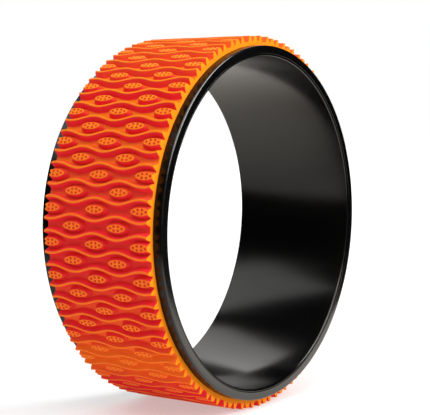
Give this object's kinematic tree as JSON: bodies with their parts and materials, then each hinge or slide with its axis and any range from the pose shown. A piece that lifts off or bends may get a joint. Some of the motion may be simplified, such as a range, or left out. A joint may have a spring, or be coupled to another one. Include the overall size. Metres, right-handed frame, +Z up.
{
  "type": "back roller wheel",
  "caption": "Rigid hoop with a wide open bore, and a moulded massage pad of wavy ridges and almond nubs bonded round its outside.",
  "frame": {"origin": "centre of the wheel: on its axis, midway between the hoop's two end faces", "axes": "+Y along the wheel's axis, +Z up as the wheel stands on its tread"},
  "size_m": [0.33, 0.1256, 0.33],
  "materials": {
    "hoop_plastic": "black moulded plastic, semi-gloss",
    "liner_plastic": "black moulded plastic, satin-gloss",
    "adhesive": "clear bonding film, seen only as a thin line",
    "pad_elastomer": "orange moulded elastomer, satin"
  },
  "bodies": {
    "root": {"outer_hoop": "hoop_plastic", "bore_liner": "liner_plastic", "adhesive_film": "adhesive", "massage_pad": "pad_elastomer"}
  },
  "joints": []
}
